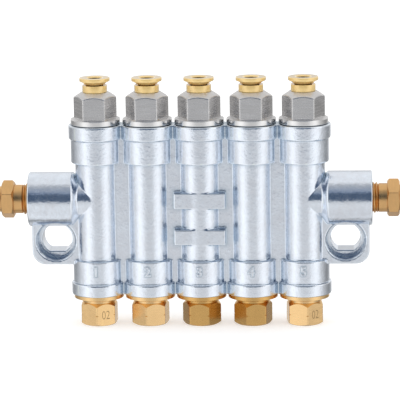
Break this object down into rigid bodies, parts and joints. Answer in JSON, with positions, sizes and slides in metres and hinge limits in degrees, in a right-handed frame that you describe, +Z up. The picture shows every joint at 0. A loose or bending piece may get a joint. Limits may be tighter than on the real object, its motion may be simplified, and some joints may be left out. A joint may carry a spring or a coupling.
{
  "type": "lubricant divider block",
  "caption": "Die-cast lubricant divider block with push-in outlet fittings on top, piston metering units below, an inlet fitting at each end and counterbored mounting lugs.",
  "frame": {"origin": "under the middle outlet, on the plane of the metering units' lower ends", "axes": "+X along the cross gallery, +Z up the outlets, -Y the front, +Y the mounting side"},
  "size_m": [0.1316, 0.0174, 0.0798],
  "materials": {
    "zinc_casting": "satin",
    "fitting_steel": "brushed",
    "collar_brass": "polished",
    "unit_brass": "satin",
    "inlet_brass": "satin",
    "seal_rubber": "matte",
    "inner_steel": "bright"
  },
  "bodies": {
    "block": {"manifold_body": "zinc_casting", "outlet_fitting_1": "fitting_steel", "outlet_fitting_2": "fitting_steel", "outlet_fitting_3": "fitting_steel", "outlet_fitting_4": "fitting_steel", "outlet_fitting_5": "fitting_steel", "tube_seal_1": "seal_rubber", "tube_seal_2": "seal_rubber", "tube_seal_3": "seal_rubber", "tube_seal_4": "seal_rubber", "tube_seal_5": "seal_rubber", "grip_ring_1": "inner_steel", "grip_ring_2": "inner_steel", "grip_ring_3": "inner_steel", "grip_ring_4": "inner_steel", "grip_ring_5": "inner_steel", "guide_bush_1": "collar_brass", "guide_bush_2": "collar_brass", "guide_bush_3": "collar_brass", "guide_bush_4": "collar_brass", "guide_bush_5": "collar_brass", "metering_body_1": "unit_brass", "metering_body_2": "unit_brass", "metering_body_3": "unit_brass", "metering_body_4": "unit_brass", "metering_body_5": "unit_brass", "stop_ring_1": "inner_steel", "stop_ring_2": "inner_steel", "stop_ring_3": "inner_steel", "stop_ring_4": "inner_steel", "stop_ring_5": "inner_steel", "inlet_fitting_left": "inlet_brass", "inlet_fitting_right": "inlet_brass", "inlet_sleeve_left": "inlet_brass", "inlet_sleeve_right": "inlet_brass"},
    "collar_1": {"release_collar_1": "collar_brass"},
    "valve_1": {"check_valve_1": "seal_rubber"},
    "piston_1": {"metering_piston_1": "inner_steel", "return_spring_1": "inner_steel"},
    "collar_2": {"release_collar_2": "collar_brass"},
    "valve_2": {"check_valve_2": "seal_rubber"},
    "piston_2": {"metering_piston_2": "inner_steel", "return_spring_2": "inner_steel"},
    "collar_3": {"release_collar_3": "collar_brass"},
    "valve_3": {"check_valve_3": "seal_rubber"},
    "piston_3": {"metering_piston_3": "inner_steel", "return_spring_3": "inner_steel"},
    "collar_4": {"release_collar_4": "collar_brass"},
    "valve_4": {"check_valve_4": "seal_rubber"},
    "piston_4": {"metering_piston_4": "inner_steel", "return_spring_4": "inner_steel"},
    "collar_5": {"release_collar_5": "collar_brass"},
    "valve_5": {"check_valve_5": "seal_rubber"},
    "piston_5": {"metering_piston_5": "inner_steel", "return_spring_5": "inner_steel"}
  },
  "joints": [
    {"name": "collar_press_1", "type": "slide", "parent": "block", "child": "collar_1", "axis": [0, 0, -1], "range_m": [0, 0.0006], "stiffness_N_per_m": 400},
    {"name": "valve_lift_1", "type": "slide", "parent": "block", "child": "valve_1", "axis": [0, 0, 1], "range_m": [0, 0.0007]},
    {"name": "piston_stroke_1", "type": "slide", "parent": "block", "child": "piston_1", "axis": [0, 0, -1], "range_m": [0, 0.0065], "stiffness_N_per_m": 300, "springref_m": -0.004, "deforming": ["return_spring_1"]},
    {"name": "collar_press_2", "type": "slide", "parent": "block", "child": "collar_2", "axis": [0, 0, -1], "range_m": [0, 0.0006], "stiffness_N_per_m": 400},
    {"name": "valve_lift_2", "type": "slide", "parent": "block", "child": "valve_2", "axis": [0, 0, 1], "range_m": [0, 0.0007]},
    {"name": "piston_stroke_2", "type": "slide", "parent": "block", "child": "piston_2", "axis": [0, 0, -1], "range_m": [0, 0.0065], "stiffness_N_per_m": 300, "springref_m": -0.004, "deforming": ["return_spring_2"]},
    {"name": "collar_press_3", "type": "slide", "parent": "block", "child": "collar_3", "axis": [0, 0, -1], "range_m": [0, 0.0006], "stiffness_N_per_m": 400},
    {"name": "valve_lift_3", "type": "slide", "parent": "block", "child": "valve_3", "axis": [0, 0, 1], "range_m": [0, 0.0007]},
    {"name": "piston_stroke_3", "type": "slide", "parent": "block", "child": "piston_3", "axis": [0, 0, -1], "range_m": [0, 0.0065], "stiffness_N_per_m": 300, "springref_m": -0.004, "deforming": ["return_spring_3"]},
    {"name": "collar_press_4", "type": "slide", "parent": "block", "child": "collar_4", "axis": [0, 0, -1], "range_m": [0, 0.0006], "stiffness_N_per_m": 400},
    {"name": "valve_lift_4", "type": "slide", "parent": "block", "child": "valve_4", "axis": [0, 0, 1], "range_m": [0, 0.0007]},
    {"name": "piston_stroke_4", "type": "slide", "parent": "block", "child": "piston_4", "axis": [0, 0, -1], "range_m": [0, 0.0065], "stiffness_N_per_m": 300, "springref_m": -0.004, "deforming": ["return_spring_4"]},
    {"name": "collar_press_5", "type": "slide", "parent": "block", "child": "collar_5", "axis": [0, 0, -1], "range_m": [0, 0.0006], "stiffness_N_per_m": 400},
    {"name": "valve_lift_5", "type": "slide", "parent": "block", "child": "valve_5", "axis": [0, 0, 1], "range_m": [0, 0.0007]},
    {"name": "piston_stroke_5", "type": "slide", "parent": "block", "child": "piston_5", "axis": [0, 0, -1], "range_m": [0, 0.0065], "stiffness_N_per_m": 300, "springref_m": -0.004, "deforming": ["return_spring_5"]}
  ]
}
